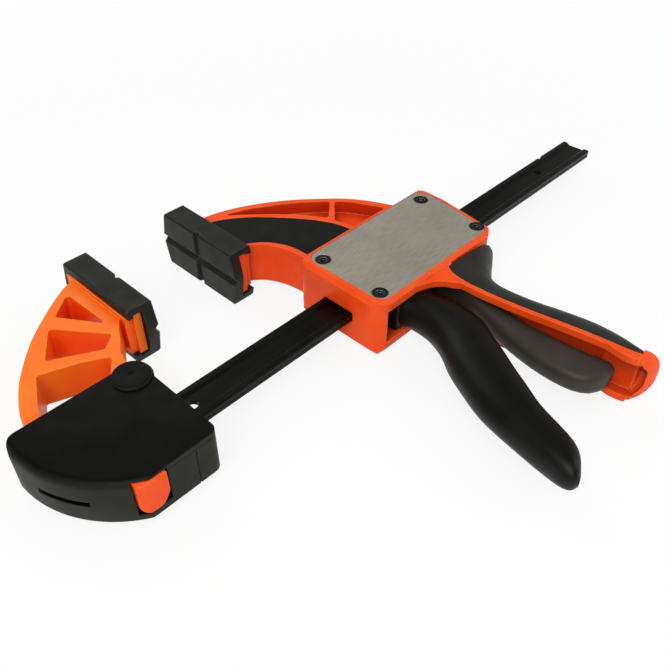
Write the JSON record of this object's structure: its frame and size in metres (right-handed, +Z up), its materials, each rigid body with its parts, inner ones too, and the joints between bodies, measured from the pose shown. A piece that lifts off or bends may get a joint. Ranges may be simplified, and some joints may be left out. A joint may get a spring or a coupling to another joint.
{
  "type": "quick release bar clamp",
  "caption": "One-handed bar clamp lying on its side: swinging quadrant jaw on a steel bar, sliding trigger head with squeeze handle and release lever.",
  "frame": {"origin": "on the bar's centre line, in the plane of the fixed jaw's face as stored", "axes": "+X along the bar from the fixed jaw towards the trigger head, +Y from the bar towards the jaws, +Z up through the clamp's thickness as it lies on its side"},
  "size_m": [0.3895, 0.2543, 0.0324],
  "materials": {
    "bar_steel": "black oxide on cold rolled steel, satin",
    "housing_nylon": "black moulded nylon, fine satin grain",
    "zinc_steel": "zinc plated steel",
    "orange_nylon": "orange glass filled nylon, satin moulded",
    "pad_rubber": "black soft moulded rubber",
    "spring_steel": "bright spring wire",
    "plate_steel": "warm grey nickel plate, finely brushed",
    "black_screws": "black oxide socket screws",
    "inlay_plastic": "black moulded plastic, fine grain",
    "grip_rubber": "black soft rubber moulded over the grip",
    "handle_plastic": "black moulded nylon, satin",
    "lever_plastic": "warm dark grey moulded nylon, satin"
  },
  "bodies": {
    "fixed_head": {"bar": "bar_steel", "housing_upper": "housing_nylon", "housing_lower": "housing_nylon", "housing_screws": "zinc_steel", "jaw_pin": "zinc_steel", "pivot_cap": "housing_nylon", "lock_pin": "zinc_steel", "lock_spring": "spring_steel"},
    "swing_jaw": {"swing_jaw": "orange_nylon", "fixed_pad": "pad_rubber"},
    "lock_button": {"lock_button": "orange_nylon"},
    "lock_catch": {"lock_catch": "zinc_steel"},
    "moving_head": {"head_body": "orange_nylon", "side_plate_top": "plate_steel", "side_plate_bottom": "plate_steel", "plate_screws_top": "black_screws", "plate_screws_bottom": "black_screws", "arm_inlay_top": "inlay_plastic", "arm_inlay_bottom": "inlay_plastic", "moving_pad": "pad_rubber", "grip_cover": "grip_rubber", "handle_pin": "zinc_steel", "lever_pin": "zinc_steel", "drive_spring": "spring_steel", "brake_spring": "spring_steel"},
    "squeeze_handle": {"squeeze_handle": "handle_plastic"},
    "drive_plates": {"drive_plates": "zinc_steel"},
    "brake_plate": {"brake_plate": "zinc_steel"},
    "release_lever": {"release_lever": "lever_plastic"}
  },
  "joints": [
    {"name": "jaw_swing", "type": "hinge", "parent": "fixed_head", "child": "swing_jaw", "pos_m": [-0.034, 0.023, 0], "axis": [0, 0, 1], "range_deg": [0, 15]},
    {"name": "lock_press", "type": "slide", "parent": "fixed_head", "child": "lock_button", "axis": [0, 1, 0], "range_m": [0, 0.003], "stiffness_N_per_m": 400, "springref_m": -0.003, "deforming": ["lock_spring"]},
    {"name": "catch_rock", "type": "hinge", "parent": "fixed_head", "child": "lock_catch", "pos_m": [-0.047, -0.0125, 0], "axis": [0, 0, 1], "range_deg": [-14.5, 0]},
    {"name": "head_slide", "type": "slide", "parent": "fixed_head", "child": "moving_head", "axis": [1, 0, 0], "range_m": [-0.0478, 0.128]},
    {"name": "handle_squeeze", "type": "hinge", "parent": "moving_head", "child": "squeeze_handle", "pos_m": [0.0908, 0.017, 0], "axis": [0, 0, 1], "range_deg": [0, 11], "stiffness_Nm_per_rad": 3, "springref_deg": -8.59},
    {"name": "drive_stroke", "type": "slide", "parent": "moving_head", "child": "drive_plates", "axis": [1, 0, 0], "range_m": [0, 0.0044], "deforming": ["drive_spring"]},
    {"name": "lever_release", "type": "hinge", "parent": "moving_head", "child": "release_lever", "pos_m": [0.1248, -0.0139, 0], "axis": [0, 0, 1], "range_deg": [0, 4.5], "stiffness_Nm_per_rad": 1.5, "springref_deg": -5.73},
    {"name": "brake_tilt", "type": "hinge", "parent": "moving_head", "child": "brake_plate", "pos_m": [0.1378, 0.021, 0], "axis": [0, 0, 1], "range_deg": [0, 0.9], "deforming": ["brake_spring"]}
  ],
  "couplings": [
    {"joint": "catch_rock", "follows": "lock_press", "rad_per_m": -82},
    {"joint": "drive_stroke", "follows": "handle_squeeze", "m_per_rad": 0.022},
    {"joint": "brake_tilt", "follows": "lever_release", "ratio": 0.185}
  ]
}
